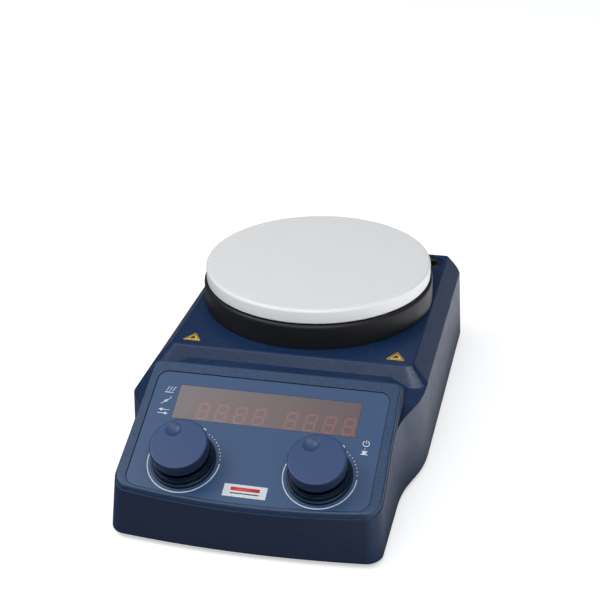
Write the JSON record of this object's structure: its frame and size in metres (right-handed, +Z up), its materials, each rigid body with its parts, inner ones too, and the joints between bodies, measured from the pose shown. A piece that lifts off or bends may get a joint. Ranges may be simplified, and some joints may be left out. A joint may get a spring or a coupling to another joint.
{
  "type": "hotplate magnetic stirrer",
  "caption": "Laboratory hotplate stirrer: round white heating plate on a flat dark housing with a sloping control panel, a display window and turn-and-push dials.",
  "frame": {"origin": "on the table, under the middle of the footprint", "axes": "+Z up from the table, +Y from the control panel towards the rear panel, +X to the right of a person facing the panel"},
  "size_m": [0.1608, 0.2597, 0.081],
  "materials": {
    "housing": "moulded plastic, fine spark texture, satin",
    "bezel": "moulded plastic, satin",
    "overlay": "printed film, fine matt grain",
    "window": "smoked filter film",
    "label": "blank printed plate",
    "sticker": "printed film",
    "zinc_sheet": "zinc plated sheet",
    "rubber": "matt",
    "screw_steel": "zinc plated",
    "white_plate": "matt ceramic coating",
    "heater": "foil heater in mica",
    "insulation": "pressed mineral fibre",
    "steel": "turned",
    "black_skirt": "satin black powder coat",
    "motor_metal": "cast and turned",
    "stator_iron": "laminated electrical steel",
    "carrier_plastic": "turned and milled",
    "magnet": "nickel plated",
    "knob": "satin",
    "black_plastic": "satin",
    "aluminium": "extruded",
    "board": "solder mask",
    "display_module": "segment display",
    "white_plastic": "moulded",
    "copper": "enamelled copper wire",
    "capacitor": "shrink sleeve",
    "brass": "plated contacts",
    "fuse_glass": "clear tube with metal caps",
    "rocker_green": "moulded",
    "dark_steel": "blackened",
    "wire": "stranded wire insulation",
    "cable": "cable sheath"
  },
  "bodies": {
    "housing": {"base_plate": "zinc_sheet", "base_screws": "screw_steel", "blank_nameplate": "label", "board_capacitors": "capacitor", "board_spacers": "white_plastic", "bracket_screws": "screw_steel", "contact_pins": "brass", "control_bezel": "bezel", "control_board": "board", "control_overlay": "overlay", "deck_stickers": "sticker", "display_modules": "display_module", "display_window": "window", "encoder_bodies": "black_plastic", "heat_shield": "zinc_sheet", "heater_disc": "heater", "heater_relay": "white_plastic", "heater_triac": "black_plastic", "heating_plate": "white_plate", "insulation_disc": "insulation", "knob_collars": "black_plastic", "machine_screws": "screw_steel", "mains_inlet": "black_plastic", "motor_bearings": "steel", "motor_bracket": "zinc_sheet", "motor_can": "motor_metal", "motor_stator": "stator_iron", "mounting_nuts": "screw_steel", "plate_pillars": "steel", "plate_sensor": "steel", "plate_skirt": "black_skirt", "power_board": "board", "power_wires": "wire", "rear_panel": "zinc_sheet", "ribbon_cable": "cable", "rod_insert": "dark_steel", "rubber_feet": "rubber", "sensor_socket": "black_plastic", "signal_cables": "cable", "switch_frame": "black_plastic", "transformer_core": "stator_iron", "transformer_winding": "copper", "triac_heatsink": "aluminium", "upper_housing": "housing"},
    "stir_rotor": {"motor_shaft": "steel", "motor_rotor": "stator_iron", "shaft_circlip": "steel", "magnet_carrier": "carrier_plastic", "drive_magnets": "magnet", "carrier_set_screw": "screw_steel"},
    "heat_push": {"heat_push_plunger": "black_plastic"},
    "heat_dial": {"heat_knob_cap": "knob", "heat_encoder_shaft": "aluminium"},
    "stir_push": {"stir_push_plunger": "black_plastic"},
    "stir_dial": {"stir_knob_cap": "knob", "stir_encoder_shaft": "aluminium"},
    "rocker": {"power_rocker": "rocker_green"},
    "fuse_tray": {"fuse_drawer": "black_plastic", "fuse_link": "fuse_glass"}
  },
  "joints": [
    {"name": "stirring_spin", "type": "hinge", "parent": "housing", "child": "stir_rotor", "pos_m": [0, 0.057, 0.0575], "axis": [0, 0, 1], "continuous": true},
    {"name": "heat_press", "type": "slide", "parent": "housing", "child": "heat_push", "axis": [0, 0.4067, -0.9135], "range_m": [0, 0.0006], "stiffness_N_per_m": 6000},
    {"name": "heat_turn", "type": "hinge", "parent": "heat_push", "child": "heat_dial", "pos_m": [-0.0359, -0.10809, 0.04814], "axis": [0, -0.4067, 0.9135], "continuous": true},
    {"name": "stir_press", "type": "slide", "parent": "housing", "child": "stir_push", "axis": [0, 0.4067, -0.9135], "range_m": [0, 0.0006], "stiffness_N_per_m": 6000},
    {"name": "stir_turn", "type": "hinge", "parent": "stir_push", "child": "stir_dial", "pos_m": [0.0359, -0.10809, 0.04814], "axis": [0, -0.4067, 0.9135], "continuous": true},
    {"name": "power_rock", "type": "hinge", "parent": "housing", "child": "rocker", "pos_m": [-0.008, 0.123, 0.027], "axis": [1, 0, 0], "range_deg": [0, 10]},
    {"name": "fuse_slide", "type": "slide", "parent": "housing", "child": "fuse_tray", "axis": [0, 1, 0], "range_m": [0, 0.018]}
  ]
}
